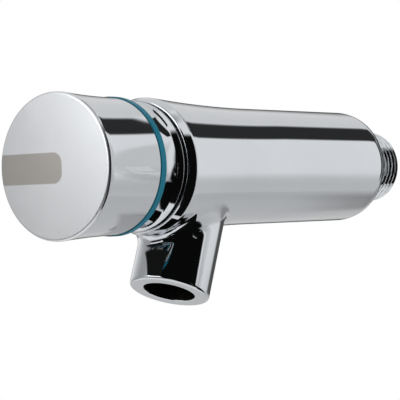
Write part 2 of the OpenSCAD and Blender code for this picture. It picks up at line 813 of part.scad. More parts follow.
module return_spring() {
  points = [for (i = [0 : spring_rings], side = [0 : wire_sides - 1]) wire_point(i, side)];
  walls = [
    for (i = [0 : spring_rings - 1], side = [0 : wire_sides - 1])
      let (
        a = i * wire_sides + side, b = i * wire_sides + (side + 1) % wire_sides,
        c = a + wire_sides, d = b + wire_sides
      )
      each [[a, b, d], [a, d, c]]
  ];
  last = spring_rings * wire_sides;
  ends = [
    for (side = [1 : wire_sides - 2])
      each [[0, side + 1, side], [last, last + side, last + side + 1]]
  ];
  color(steel) on_axis() polyhedron(points, concat(walls, ends), convexity = 10);
}

body();
head_collar();
guide_ring();
head_gasket();
timing_cylinder();
cartridge_seal();
stem_bush();
stem_seal();
cylinder_cap();
cap_seal();
bleed_pin();
valve_cage();
valve_seat();
seat_seal();
inlet_strainer();
strainer_ring();
flow_regulator();
regulator_seal();
jet_straightener();
outlet_clip();
button_cap();
colour_ring();
button_hub();
stem_nut();
stem();
piston();
piston_seal();
piston_clip();
valve_head();
valve_washer();
valve_nut();
return_spring();
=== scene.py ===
import json
import math

import bpy
import numpy as np
from mathutils import Matrix, Vector
from mathutils.geometry import delaunay_2d_cdt


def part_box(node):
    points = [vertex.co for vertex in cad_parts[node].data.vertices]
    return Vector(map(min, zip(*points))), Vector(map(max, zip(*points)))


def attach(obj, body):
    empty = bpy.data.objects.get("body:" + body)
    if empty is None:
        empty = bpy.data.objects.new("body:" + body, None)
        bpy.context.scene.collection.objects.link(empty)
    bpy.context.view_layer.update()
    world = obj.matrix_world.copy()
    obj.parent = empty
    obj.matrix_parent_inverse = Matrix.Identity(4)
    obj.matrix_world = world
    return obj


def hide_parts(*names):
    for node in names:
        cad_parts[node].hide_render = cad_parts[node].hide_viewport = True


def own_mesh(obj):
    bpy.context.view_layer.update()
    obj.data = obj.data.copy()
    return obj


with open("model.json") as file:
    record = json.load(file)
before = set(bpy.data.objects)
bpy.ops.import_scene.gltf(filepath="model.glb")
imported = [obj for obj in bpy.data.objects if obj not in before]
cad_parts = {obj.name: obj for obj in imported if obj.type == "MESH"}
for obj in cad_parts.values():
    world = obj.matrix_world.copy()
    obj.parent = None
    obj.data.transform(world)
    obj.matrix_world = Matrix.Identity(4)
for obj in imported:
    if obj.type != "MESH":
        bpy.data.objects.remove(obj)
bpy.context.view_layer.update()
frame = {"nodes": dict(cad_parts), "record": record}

# Sizes are in millimetres, as on a drawing of the tap, and meshes are written in metres.
# The tap's axis lies along Y: the button faces -Y, the thread points along +Y into the wall.
MM = 0.001
X, Y = 0, 1
mounts = {mount["name"]: mount for mount in frame["record"]["mounts"]}


def span(node, axis):
    """Lowest and highest place of a node along an axis."""
    low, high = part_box(node)
    return low[axis] / MM, high[axis] / MM


# Sizes that the frame gives
body_front, thread_end = span("body", Y)
ridge_r = span("body", X)[1]
sleeve_front, tail_rear = span("head_collar", Y)
front_r = span("head_collar", X)[1]
face_front, spigot_rear = span("button_cap", Y)
face_r = span("button_cap", X)[1]
ring_front, ring_rear = span("colour_ring", Y)
ring_r = span("colour_ring", X)[1]
gasket_rear = span("head_gasket", Y)[1]
thread_r = mounts["inlet_thread"]["dims"]["r_mm"]

# Body
barrel_r = 16.0
ridge_setback = 2.8
ridge_land = 0.3
flare_len = 42.0
rear_len = 7.5
shoulder_w = 0.52
edge_round = 0.22
nose_round = 0.5
ridge_round = 2.2
head_bore_r = 14.7
cylinder_bore_r = 12.7
bore_step = -63.7
valve_bore_r = 10.8
valve_bore_end = -40.8
inlet_r = 7.0
strainer_seat_r = 8.0
strainer_seat = 8.5
shoulder_round = 0.15
bore_round = 0.15
inlet_chamfer = 0.4

# Inlet thread
thread_pitch = 1.814
thread_depth = 1.162
thread_flat = 0.3
thread_neck = 0.5
thread_lead = 1.1
thread_end_drop = 0.25

# Spout
spout_r = 10.55
spout_bore_r = mounts["spout_outlet"]["dims"]["r_mm"]
lip_round = 0.8
lip_inner_round = 0.3
spout_bore_round = 0.1
clip_groove_r = 7.15
clip_groove_w = 0.8
spout_ledge = 16.3
waterway_r = 5.2
blend_front = 3.4
blend_shoulder = 5.3
blend_rise = 4.0
blend_side = 3.0
blend_rear = 0.3

# Head collar
sleeve_r = 15.9
sleeve_front_round = 0.5
sleeve_inner_round = 0.3
bevel_len = 2.2
tail_r = 14.6
guide_groove_r = 15.2
guide_inset = 1.2
guide_w = 3.0
waist = 0.65
waist_len = 7.0
foot_round = 3.0
foot_room = 0.9
collar_round = 0.3
seam_w = 0.8
seam_drop = 0.2
seam_depth = 0.8

# Button
button_rear_r = 17.44
skirt_bore_r = 16.2
face_crown = 0.35
face_round = 0.7
face_land = 0.3
face_wall = 2.5
button_rear_round = 0.04
ring_t = 0.6
ring_bore_r = ring_r - ring_t
ring_front_round = 0.06
ring_rear_round = 0.25
spigot_fit = 0.05
spigot_r = ring_bore_r - spigot_fit

# Rounding of edges that hardly show
fine_round = 0.12

# Return spring
wire_d = 1.3
spring_d = 16.6
spring_turns = 4.5

# How finely round surfaces are divided
AROUND = 192
SPOUT_AROUND = 128
TURN_STEP = math.radians(7)


def unit(v):
    return v / np.linalg.norm(v, axis=-1, keepdims=True)


def rounded(corners):
    """Rows of (radius, place, normal) along an outline of (radius, place, rounding) corners.
    The outline runs with the material on its left, so that it goes round the outside towards +Y."""
    points = np.array([corner[:2] for corner in corners], float)
    along = unit(np.diff(points, axis=0))
    normals = np.stack([along[:, 1], -along[:, 0]], -1)
    rows = [(*points[0], *normals[0])]
    for i in range(1, len(points) - 1):
        before, after, rounding = along[i - 1], along[i], corners[i][2]
        if rounding == 0:
            rows.append((*points[i], *unit(normals[i - 1] + normals[i])))
            continue
        turn = math.atan2(before[0] * after[1] - before[1] * after[0], before @ after)
        centre = points[i] + unit(after - before) * rounding / math.cos(turn / 2)
        steps = max(2, math.ceil(abs(turn) / TURN_STEP))
        for angle in np.linspace(0, turn, steps + 1):
            c, s = math.cos(angle), math.sin(angle)
            n = normals[i - 1]
            normal = np.array([c * n[0] - s * n[1], s * n[0] + c * n[1]])
            rows.append((*(centre + math.copysign(rounding, turn) * normal), *normal))
    rows.append((*points[-1], *normals[-1]))
    return np.array(rows)


def turned(rows, around=AROUND):
    """Points and normals of rows of (radius, place, normal) turned about the tap's axis."""
    theta = np.arange(around) * 2 * math.pi / around
    c, s = np.cos(theta), np.sin(theta)
    r, y, nr, ny = (column[:, None] for column in rows.T)
    points = np.stack([r * c, y + 0 * c, r * s], -1)
    normals = np.stack([nr * c, ny + 0 * c, nr * s], -1)
    return points, normals


class Maker:
    """Collects points, their normals and faces, and writes them as one mesh."""

    def __init__(self):
        self.points, self.normals, self.faces, self.slots = [], [], [], []
        self.count = 0

    def add(self, points, normals):
        """Adds a grid of points and returns their numbers in the same layout."""
        shape = points.shape[:-1]
        number = np.arange(self.count, self.count + int(np.prod(shape))).reshape(shape)
        self.points.append(points.reshape(-1, 3))
        self.normals.append(normals.reshape(-1, 3))
        self.count += number.size
        return number

    def face(self, corners, slot):
        corners = [c for i, c in enumerate(corners) if c != corners[i - 1]]
        if len(corners) > 2:
            self.faces.append(corners)
            self.slots.append(slot)

    def grid(self, number, slot=0, skip=None):
        """Joins rows of numbered points that close round the second index."""
        rows, around = number.shape
        for i in range(rows - 1):
            for k in range(around):
                if skip is not None and skip[i, k]:
                    continue
                n = (k + 1) % around
                corners = [number[i, k], number[i + 1, k], number[i + 1, n], number[i, n]]
                self.face([int(c) for c in corners], slot)

    def build(self, name, materials):
        points = np.concatenate(self.points)
        normals = unit(np.concatenate(self.normals))
        faces = []
        for corners in self.faces:
            p = points[corners]
            across = np.cross(p[1] - p[0], p[2] - p[0])
            if len(corners) == 4:
                across = np.cross(p[2] - p[0], p[3] - p[1])
            faces.append(corners if across @ normals[corners].sum(0) > 0 else corners[::-1])
        mesh = bpy.data.meshes.new(name)
        mesh.from_pydata((points * MM).tolist(), [], faces)
        mesh.polygons.foreach_set("material_index", self.slots)
        mesh.polygons.foreach_set("use_smooth", [True] * len(faces))
        for material in materials:
            mesh.materials.append(material)
        mesh.update()
        mesh.normals_split_custom_set_from_vertices(normals.tolist())
        piece = bpy.data.objects.new(name, mesh)
        bpy.context.scene.collection.objects.link(piece)
        return piece


def pole(maker, row):
    """A row on the axis, as one point that stands for the whole row."""
    number = maker.add(np.array([[0.0, row[1], 0.0]]), np.array([[0.0, row[3], 0.0]]))
    return np.full((1, AROUND), number[0])


def stand_for(piece, node, body):
    """Puts a finished piece in the place of its CAD node."""
    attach(piece, body)
    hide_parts(node)


# Body: outline of the outside, from the front face to the thread's shoulder
flare_start = body_front + ridge_setback + ridge_land
flare_end = flare_start + flare_len
ridge_rise = ridge_r - barrel_r
flare_arc = (ridge_rise ** 2 + flare_len ** 2) / (2 * ridge_rise)
shoulder_r = thread_r + shoulder_w
rear_drop = barrel_r - shoulder_r
rear_arc = (rear_drop ** 2 + rear_len ** 2) / (2 * rear_drop)
root_r = thread_r - thread_depth
FLARE_ROWS = 36
BARREL_ROWS = 14
REAR_ROWS = 18
WATERWAY_ROWS = 3
WATERWAY_STEP = 6.0


def flare_radius(y):
    return barrel_r + flare_arc - math.sqrt(flare_arc ** 2 - (flare_end - y) ** 2)


def rear_radius(y):
    return barrel_r - rear_arc + math.sqrt(rear_arc ** 2 - (y + rear_len) ** 2)


def outer_outline():
    corners = [
        (head_bore_r + edge_round, body_front, 0),
        (front_r, body_front, nose_round),
        (ridge_r, body_front + ridge_setback, ridge_round),
    ]
    for y in np.linspace(flare_start, flare_end, FLARE_ROWS)[1:]:
        corners.append((flare_radius(y), y, 0))
    for y in np.linspace(flare_end, -rear_len, BARREL_ROWS)[1:]:
        corners.append((barrel_r, y, 0))
    for y in np.linspace(-rear_len, 0, REAR_ROWS)[1:-1]:
        corners.append((rear_radius(y), y, 0))
    corners += [(shoulder_r, 0, shoulder_round), (thread_r, 0, 0)]
    return rounded(corners)


def inner_outline():
    """Outline of the bores, from the thread's end to the front face.
    The cylinder's bore has extra rows where the spout's waterway opens into it."""
    corners = [
        (root_r - inlet_chamfer, thread_end, 0),
        (strainer_seat_r, thread_end, inlet_chamfer / 2),
        (strainer_seat_r, strainer_seat, bore_round),
        (inlet_r, strainer_seat, bore_round),
        (inlet_r, valve_bore_end, bore_round),
        (valve_bore_r, valve_bore_end, bore_round),
        (valve_bore_r, bore_step, bore_round),
        (cylinder_bore_r, bore_step, bore_round),
    ]
    for i in range(WATERWAY_ROWS):
        corners.append((cylinder_bore_r, bore_step - (i + 1) * WATERWAY_STEP, 0))
    corners += [
        (cylinder_bore_r, gasket_rear, bore_round),
        (head_bore_r, gasket_rear, bore_round),
        (head_bore_r, body_front + edge_round, 0),
    ]
    return rounded(corners)


# Inlet thread: one helical ridge of the standard section between a plain neck and a chamfered end
THREAD_STEP = 0.11


def thread_radius(theta, y):
    """Radius of the thread at an angle and a place along its axis."""
    turn = (y - thread_neck) / thread_pitch - theta / (2 * math.pi)
    off_crest = np.abs(turn - np.round(turn)) * thread_pitch
    slope = thread_depth / (thread_pitch / 2 - thread_flat)
    ridge = thread_r - np.clip((off_crest - thread_flat / 2) * slope, 0, thread_depth)
    neck = np.clip(thread_r - (y - thread_neck) * slope, root_r, thread_r)
    chamfer = root_r - thread_end_drop + np.clip(thread_end - y, 0, None) * thread_depth / thread_lead
    return np.minimum(np.maximum(ridge, neck), np.minimum(chamfer, thread_r))


def thread_rows():
    """Points and normals of the thread, from the shoulder to its end."""
    theta = np.arange(AROUND) * 2 * math.pi / AROUND
    y = np.arange(THREAD_STEP, thread_end - THREAD_STEP / 2, THREAD_STEP)[:, None]
    r = thread_radius(theta, y)
    d = THREAD_STEP / 2
    along = (thread_radius(theta, y + d) - thread_radius(theta, y - d)) / (2 * d)
    turn = 2 * math.pi / AROUND
    about = (thread_radius(theta + turn, y) - thread_radius(theta - turn, y)) / (2 * turn * r)
    c, s = np.cos(theta), np.sin(theta)
    points = np.stack([r * c, y + 0 * r, r * s], -1)
    normals = np.stack([c + about * s, -along, s - about * c], -1)
    return points, unit(normals)


# Spout: its own frame has its origin at the mouth's centre and its axis pointing up into the body
outlet = mounts["spout_outlet"]
spout_up = -np.array(outlet["axis"])
spout_mouth = np.array(outlet["pos_m"]) / MM - spout_up * outlet["dims"]["length_mm"] / 2
spout_side = np.array([1.0, 0.0, 0.0])
spout_back = np.cross(spout_up, spout_side)
plain_depth = outlet["dims"]["length_mm"]
phi = np.arange(SPOUT_AROUND) * 2 * math.pi / SPOUT_AROUND
spout_out = np.cos(phi)[:, None] * spout_side + np.sin(phi)[:, None] * spout_back


def in_spout(rho, s):
    """Points at a distance from the spout's axis and a height above its mouth, all round it."""
    return spout_mouth + s[..., None] * spout_up + rho[..., None] * spout_out


class BodyField:
    """Distance to the body's outside, with a rounded joint between the barrel and the spout."""

    def __init__(self, outline):
        start = int(np.argmax(outline[:, 1] > body_front + 1e-6))
        self.y, self.r = outline[start:, 1], outline[start:, 0]

    def distance(self, p):
        rise = np.hypot(p[..., 0], p[..., 2]) - np.interp(p[..., 1], self.y, self.r)
        ahead = body_front - p[..., 1]
        outside = np.hypot(np.maximum(rise, 0), np.maximum(ahead, 0))
        barrel = np.where(np.maximum(rise, ahead) > 0, outside, np.maximum(rise, ahead))
        from_mouth = p - spout_mouth
        height = from_mouth @ spout_up
        spout = np.linalg.norm(from_mouth - height[..., None] * spout_up, axis=-1) - spout_r
        blend = joint_blend(p[..., 1])
        corner = np.hypot(np.maximum(blend - barrel, 0), np.maximum(blend - spout, 0))
        return np.maximum(blend, np.minimum(barrel, spout)) - corner

    def gradient(self, p, h=0.01):
        steps = np.eye(3) * h
        sides = [self.distance(p + step) - self.distance(p - step) for step in steps]
        return np.stack(sides, -1) / (2 * h)


def spout_root(side):
    """Place along Y where the spout's front (-1), middle (0) or rear (1) meets the barrel's underside."""
    height = (-barrel_r - spout_mouth[2]) / spout_up[2]
    return spout_mouth[1] + height * spout_up[1] + side * spout_r / spout_up[2]


def joint_blend(y):
    """Rounding of the joint between spout and barrel: wide in front and at the sides, tight behind."""
    front, middle, rear = (spout_root(side) for side in (-1, 0, 1))
    return np.interp(y, [front, front + blend_rise, middle, rear],
                     [blend_front, blend_shoulder, blend_side, blend_rear])


WALL_ROWS = 16
BLEND_ROWS = 22
MARCH_STEP = 0.1
MARCH_LEN = 45.0
ON_WALL = 1e-4
RING_MARGIN = 0.3


def spout_outside(field):
    """Rows of points from the barrel down the joint and the spout's side to the rounding of its lip."""
    rho = np.full(SPOUT_AROUND, spout_r)
    s = np.full(SPOUT_AROUND, lip_round)
    heading = np.tile([0.0, 1.0], (SPOUT_AROUND, 1))
    path = [np.stack([rho, s], -1)]
    for _ in range(int(MARCH_LEN / MARCH_STEP)):
        for _ in range(2):
            p = in_spout(rho, s)
            g = field.gradient(p)
            flat = np.stack([(g * spout_out).sum(-1), g @ spout_up], -1)
            off = field.distance(p) / (flat ** 2).sum(-1)
            rho, s = rho - off * flat[:, 0], s - off * flat[:, 1]
        path.append(np.stack([rho, s], -1))
        ahead = unit(np.stack([flat[:, 1], -flat[:, 0]], -1))
        heading = ahead * np.sign((ahead * heading).sum(-1, keepdims=True))
        rho, s = rho + MARCH_STEP * heading[:, 0], s + MARCH_STEP * heading[:, 1]
    path = np.stack(path, 1)
    rows = np.empty((WALL_ROWS + BLEND_ROWS, SPOUT_AROUND, 2))
    for k, line in enumerate(path):
        point = spout_mouth + line[:, 1:] * spout_up + line[:, :1] * spout_out[k]
        reach = spout_r + joint_blend(point[:, 1]) + RING_MARGIN
        last = int(np.argmax(line[:, 0] > reach))
        leave = int(np.argmax(line[:, 0] > spout_r + ON_WALL))
        length = np.concatenate([[0], np.cumsum(np.linalg.norm(np.diff(line, axis=0), axis=1))])
        wall = np.linspace(0, length[leave], WALL_ROWS, endpoint=False)
        joint = np.linspace(length[leave], length[last], BLEND_ROWS)
        for column in (0, 1):
            rows[:, k, column] = np.interp(np.concatenate([wall, joint]), length, line[:, column])
    points = in_spout(rows[..., 0], rows[..., 1])
    return points[::-1], unit(field.gradient(points))[::-1]


def spout_inside():
    """Rows of points from the lip's rounding over the mouth and up the bore to the cylinder's bore."""
    rows = rounded([
        (spout_r, lip_round + spout_bore_round, 0),
        (spout_r, 0, lip_round),
        (spout_bore_r, 0, lip_inner_round),
        (spout_bore_r, plain_depth, spout_bore_round),
        (clip_groove_r, plain_depth, spout_bore_round),
        (clip_groove_r, plain_depth + clip_groove_w, spout_bore_round),
        (spout_bore_r, plain_depth + clip_groove_w, spout_bore_round),
        (spout_bore_r, spout_ledge, spout_bore_round),
        (waterway_r, spout_ledge, spout_bore_round),
        (waterway_r, spout_ledge + 1, 0),
    ][::-1])[::-1]
    r, s, nr, ns = (column[1:, None] * np.ones(SPOUT_AROUND) for column in rows.T)
    points = in_spout(r, s)
    normals = nr[..., None] * spout_out + ns[..., None] * spout_up
    end = in_spout(np.full(SPOUT_AROUND, waterway_r), np.zeros(SPOUT_AROUND))
    a = spout_up[2] ** 2
    b = 2 * end[:, 2] * spout_up[2]
    c = end[:, 0] ** 2 + end[:, 2] ** 2 - cylinder_bore_r ** 2
    height = (-b - np.sqrt(b * b - 4 * a * c)) / (2 * a)
    end = end + height[:, None] * spout_up
    return np.concatenate([points, end[None]]), np.concatenate([normals, normals[-1:]])


HOLE_MARGIN = 0.6
SAME_POINT = 1e-7


def hole_cells(rows, number, maker, ring):
    """Cells of a turned grid that a ring of points cuts, and triangles that join the grid to the ring."""
    points = np.concatenate(maker.points)
    length = np.concatenate([[0], np.cumsum(np.linalg.norm(np.diff(rows[:, :2], axis=0), axis=1))])
    order = np.argsort(rows[:, 1], kind="stable")
    seam = math.pi / 2
    ring_points = points[ring]
    down = (np.arctan2(ring_points[:, 2], ring_points[:, 0]) - seam) % (2 * math.pi)
    r_mid = np.hypot(ring_points[:, 0], ring_points[:, 2]).mean()
    ring_flat = np.stack(
        [down * r_mid, np.interp(ring_points[:, 1], rows[order, 1], length[order])], -1
    )
    across = (np.arange(AROUND) * 2 * math.pi / AROUND - seam) % (2 * math.pi) * r_mid
    centre = ring_flat.mean(0)

    def beyond(flat):
        """How far a flat point lies outside the ring, seen from the ring's centre."""
        rel, ref = flat - centre, ring_flat - centre
        angle, ref_angle = np.arctan2(rel[..., 1], rel[..., 0]), np.arctan2(ref[:, 1], ref[:, 0])
        turn = np.argsort(ref_angle)
        ref_size = np.linalg.norm(ref, axis=-1)[turn]
        limit = np.interp(angle, ref_angle[turn], ref_size, period=2 * math.pi)
        return np.linalg.norm(rel, axis=-1) - limit

    cell = 2 * math.pi / AROUND * r_mid
    flat = np.stack(np.meshgrid(length, across, indexing="ij")[::-1], -1)
    near = beyond(flat) < HOLE_MARGIN * cell
    skip = near[:-1] | near[1:]
    skip = skip | np.roll(skip, -1, axis=1)
    edges = set()
    for i, k in zip(*np.nonzero(skip)):
        n = (k + 1) % AROUND
        sides = [((i, k), (i + 1, k)), ((i + 1, k), (i + 1, n)), ((i + 1, n), (i, n)), ((i, n), (i, k))]
        for a, b in sides:
            edges ^= {frozenset((a, b))}
    used = sorted({p for edge in edges for p in edge})
    place = {p: j for j, p in enumerate(used)}
    corners = [Vector(flat[p]) for p in used] + [Vector(p) for p in ring_flat]
    names = [int(number[p]) for p in used] + [int(p) for p in ring]
    first = len(used)
    lines = [tuple(place[p] for p in edge) for edge in edges]
    lines += [(first + j, first + (j + 1) % len(ring)) for j in range(len(ring))]
    made = delaunay_2d_cdt(corners, lines, [], 0, SAME_POINT)
    places, triangles, origin = made[0], made[2], made[3]
    for triangle in triangles:
        middle = np.mean([places[c] for c in triangle], axis=0)
        i = int(np.searchsorted(length, middle[1])) - 1
        k = int(middle[0] / cell + round(seam / (2 * math.pi) * AROUND)) % AROUND
        if 0 <= i < len(length) - 1 and skip[i, k] and beyond(middle) > 0:
            maker.face([names[origin[c][0]] for c in triangle], 0)
    return skip


CHROME, BORE = 0, 1
IN_BORE = 0.01


def make_body(chrome, bore):
    maker = Maker()
    outer_rows, inner_rows = outer_outline(), inner_outline()
    outer = maker.add(*turned(outer_rows))
    thread = maker.add(*thread_rows())
    inner = maker.add(*turned(inner_rows))
    outside = maker.add(*spout_outside(BodyField(outer_rows)))
    inside = maker.add(*spout_inside())
    maker.grid(outer, CHROME, hole_cells(outer_rows, outer, maker, outside[0]))
    maker.grid(np.concatenate([outer[-1:], thread, inner[:1]]), CHROME)
    # The bores and the spout's bore take the near-black material: painted shade.
    maker.grid(inner, BORE, hole_cells(inner_rows, inner, maker, inside[-1]))
    maker.grid(np.concatenate([inner[-1:], outer[:1]]), CHROME)
    from_mouth = np.linalg.norm(np.concatenate(maker.points)[inside[:, 0]] - spout_mouth, axis=-1)
    lip_rows = 1 + int(np.argmax(from_mouth < spout_bore_r + IN_BORE))
    maker.grid(np.concatenate([outside, inside[:lip_rows]]), CHROME)
    maker.grid(inside[lip_rows - 1:], BORE)
    piece = maker.build("tap_body", [chrome, bore])
    stand_for(piece, "body", "tap")
    return piece


SAME_PLACE = 1e-6


def make_ring(name, corners, material, shadow=None, seam=(0, 0, 0)):
    """A turned piece with an open middle: its outline closes on itself.
    Where it has a seam, given as two radii and its front, the seam's own faces take the shadow material,
    a painted shade."""
    rows = rounded([*corners, corners[0], corners[1]])[1:]
    maker = Maker()
    number = maker.add(*turned(rows))
    number = np.concatenate([number, number[:1]])
    low, high, front = seam
    inside = (rows[:, 0] > low) & (rows[:, 0] < high) & (rows[:, 1] > front - SAME_PLACE)
    for i in range(len(rows)):
        maker.grid(number[i:i + 2], int(inside[i]))
    return maker.build(name, [material, shadow] if shadow else [material])


WAIST_ROWS = 16


def waist_rows(start, end):
    """Hollow behind the button: the sleeve swells again towards its bevel."""
    arc = (waist ** 2 + waist_len ** 2) / (2 * waist)
    for y in np.linspace(start, end - foot_room, WAIST_ROWS):
        yield sleeve_r - waist + arc - math.sqrt(arc ** 2 - (y - start) ** 2), y, 0


def make_collar(chrome, shadow):
    groove = sleeve_front + guide_inset
    bevel = body_front - bevel_len
    waist_start = bevel - waist_len
    seam_r = front_r - seam_drop
    seam_floor_r = front_r - seam_depth
    seam_front = body_front - seam_w
    # The seam between collar and body takes the near-black material: painted shade in the gap.
    piece = make_ring("collar_sleeve", [
        (cylinder_bore_r, (sleeve_front + tail_rear) / 2, 0),
        (cylinder_bore_r, sleeve_front, sleeve_inner_round),
        (sleeve_r, sleeve_front, sleeve_front_round),
        (sleeve_r, groove, fine_round),
        (guide_groove_r, groove, fine_round),
        (guide_groove_r, groove + guide_w, fine_round),
        (sleeve_r, groove + guide_w, fine_round),
        (sleeve_r, waist_start - waist, fine_round),
        *waist_rows(waist_start, bevel),
        (sleeve_r, bevel, foot_round),
        (seam_r, seam_front, collar_round),
        (seam_floor_r, seam_front, 0),
        (seam_floor_r, body_front, 0),
        (tail_r, body_front, fine_round),
        (tail_r, tail_rear, fine_round),
        (cylinder_bore_r, tail_rear, fine_round),
    ], chrome, shadow, (seam_floor_r - fine_round, seam_r - fine_round, seam_front))
    stand_for(piece, "head_collar", "tap")


SIDE_ROWS = 20
FACE_ROWS = 14


def make_button(side, face):
    maker = Maker()
    rim = face_front + face_crown
    side_start = rim + face_round + face_land
    side_len = ring_front - side_start
    flare = face_r - button_rear_r
    side_arc = (flare ** 2 + side_len ** 2) / (2 * flare)
    back = face_front + face_wall
    corners = [
        (r, face_front + face_crown * (r / face_r) ** 2, 0)
        for r in np.linspace(0, face_r - face_round, FACE_ROWS)[:-1]
    ]
    corners.append((face_r, rim, face_round))
    for y in np.linspace(side_start, ring_front, SIDE_ROWS)[:-1]:
        hollow = side_arc - math.sqrt(side_arc ** 2 - (ring_front - y) ** 2)
        corners.append((button_rear_r + hollow, y, 0))
    corners += [
        (button_rear_r, ring_front, button_rear_round),
        (spigot_r, ring_front, fine_round),
        (spigot_r, spigot_rear, fine_round),
        (skirt_bore_r, spigot_rear, fine_round),
        (skirt_bore_r, back, fine_round),
        (0, back, 0),
    ]
    rows = rounded(corners)
    number = maker.add(*turned(rows[1:-1]))
    number = np.concatenate([pole(maker, rows[0]), number, pole(maker, rows[-1])])
    edge = 1 + int(np.argmax(rows[:, 1] > rim + face_round / 3))
    maker.grid(number[:edge + 1], 0)
    maker.grid(number[edge:], 1)
    piece = maker.build("push_button", [face, side])
    stand_for(piece, "button_cap", "button")


def make_colour_ring(plastic):
    piece = make_ring("marker_ring", [
        ((ring_bore_r + ring_r) / 2, ring_front, 0),
        (ring_r, ring_front, ring_front_round),
        (ring_r, ring_rear, ring_rear_round),
        (ring_bore_r, ring_rear, fine_round),
        (ring_bore_r, ring_front, fine_round),
    ], plastic)
    stand_for(piece, "colour_ring", "button")


WIRE_SIDES = 14
COIL_STEPS = 40


def make_spring(steel):
    """Coil spring between the cartridge and the button's hub, built at one length, though in the tap it
    shortens as the button goes in.
    """
    low, high = span("return_spring", Y)
    start, end = low + wire_d / 2, high - wire_d / 2
    maker = Maker()
    turn = np.linspace(0, spring_turns * 2 * math.pi, int(spring_turns * COIL_STEPS) + 1)[:, None]
    y = start + turn / turn[-1] * (end - start)
    side = np.arange(WIRE_SIDES) * 2 * math.pi / WIRE_SIDES
    out = np.cos(side) * wire_d / 2
    points = np.stack([
        (spring_d / 2 + out) * np.cos(turn), y + np.sin(side) * wire_d / 2,
        -(spring_d / 2 + out) * np.sin(turn),
    ], -1)
    normals = np.stack([
        np.cos(side) * np.cos(turn), np.sin(side) + 0 * turn, -np.cos(side) * np.sin(turn)
    ], -1)
    number = maker.add(points, normals)
    maker.grid(number)
    ahead = np.array([0, 0, -1.0])
    for row, facing in ((0, -ahead), (-1, ahead)):
        cap = maker.add(points[row], np.tile(facing, (WIRE_SIDES, 1)))
        maker.face([int(c) for c in cap], 0)
    piece = maker.build("coil_spring", [steel])
    stand_for(piece, "return_spring", "tap")
    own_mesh(piece)


# Materials; the mix node's colour sockets share their names, so they go by number
MIX_A, MIX_B, MIX_RESULT = 6, 7, 2
GRAIN_STRENGTH = 0.5
GRAIN_DETAIL = 2.0


def new_material(name):
    material = bpy.data.materials.new(name)
    material.use_nodes = True
    tree = material.node_tree
    return material, tree, tree.nodes["Principled BSDF"]


def add(tree, kind, inputs=(), **settings):
    """A new node with its inputs, given as values or as sockets to link."""
    node = tree.nodes.new(kind)
    for key, value in settings.items():
        setattr(node, key, value)
    for key, value in dict(inputs).items():
        if isinstance(value, bpy.types.NodeSocket):
            tree.links.new(value, node.inputs[key])
        else:
            node.inputs[key].default_value = value
    return node


def spread(tree, value, low, high, start=0.3, end=0.7):
    """Maps a noise value to a range."""
    return add(tree, "ShaderNodeMapRange", {
        "Value": value, "From Min": start, "From Max": end, "To Min": low, "To Max": high,
    }).outputs["Result"]


def tinted(tree, factor, dark, light):
    mix = add(tree, "ShaderNodeMix", data_type="RGBA")
    tree.links.new(factor, mix.inputs["Factor"])
    mix.inputs[MIX_A].default_value = (*dark, 1)
    mix.inputs[MIX_B].default_value = (*light, 1)
    return mix.outputs[MIX_RESULT]


def noise(tree, scale, detail=3.0, stretch=(1, 1, 1)):
    place = add(tree, "ShaderNodeTexCoord").outputs["Object"]
    if stretch != (1, 1, 1):
        place = add(tree, "ShaderNodeMapping", {"Vector": place, "Scale": stretch}).outputs["Vector"]
    inputs = {"Vector": place, "Scale": scale, "Detail": detail}
    return add(tree, "ShaderNodeTexNoise", inputs).outputs["Fac"]


def bump(tree, shader, height, distance, strength):
    node = add(tree, "ShaderNodeBump", {"Height": height, "Distance": distance, "Strength": strength})
    tree.links.new(node.outputs["Normal"], shader.inputs["Normal"])


def finish(name, dark, light, rough, metallic=0.0, scale=60.0, grain=None):
    """A material whose colour and gloss vary a little over the surface, with an optional fine grain."""
    material, tree, shader = new_material(name)
    cloud = noise(tree, scale)
    tree.links.new(tinted(tree, spread(tree, cloud, 0, 1), dark, light), shader.inputs["Base Color"])
    tree.links.new(spread(tree, noise(tree, scale * 3), *rough), shader.inputs["Roughness"])
    shader.inputs["Metallic"].default_value = metallic
    if grain:
        bump(tree, shader, noise(tree, grain[0], GRAIN_DETAIL), grain[1], GRAIN_STRENGTH)
    return material


chrome_dark, chrome_light = (0.6, 0.62, 0.645), (0.63, 0.65, 0.675)
chrome = finish("polished_chrome", chrome_dark, chrome_light, (0.02, 0.045), 1.0, 45.0)
collar_chrome = finish("collar_chrome", chrome_dark, chrome_light, (0.02, 0.04), 1.0, 70.0)
side_chrome = finish("button_chrome", chrome_dark, chrome_light, (0.03, 0.055), 1.0, 55.0)
# Near-black bore metal: painted shade deep in the bores and in the collar's seam, on an unplated, grainy
# cast surface.
raw_bore_painted_shade = finish("cast_bore", (0.008, 0.008, 0.008), (0.02, 0.019, 0.017), (0.5, 0.7), 1.0, 300.0,
                  grain=(900.0, 0.0001))
blue = finish("petrol_plastic", (0.001, 0.165, 0.25), (0.002, 0.19, 0.285), (0.4, 0.5), 0.0, 120.0)
blue.node_tree.nodes["Principled BSDF"].inputs["Specular IOR Level"].default_value = 0.2
steel = finish("stainless", (0.5, 0.51, 0.52), (0.6, 0.61, 0.62), (0.22, 0.34), 1.0, 200.0)
spring_steel = finish("spring_wire", (0.42, 0.43, 0.44), (0.52, 0.53, 0.54), (0.2, 0.34), 1.0, 300.0)
brass = finish("turned_brass", (0.66, 0.47, 0.19), (0.75, 0.56, 0.26), (0.18, 0.3), 1.0, 150.0)
rubber = finish("seal_rubber", (0.018, 0.018, 0.019), (0.032, 0.032, 0.033), (0.5, 0.65), 0.0, 250.0,
                grain=(2500.0, 0.00005))
pale = finish("pale_plastic", (0.7, 0.69, 0.64), (0.78, 0.77, 0.72), (0.38, 0.5), 0.0, 200.0,
              grain=(1800.0, 0.00003))
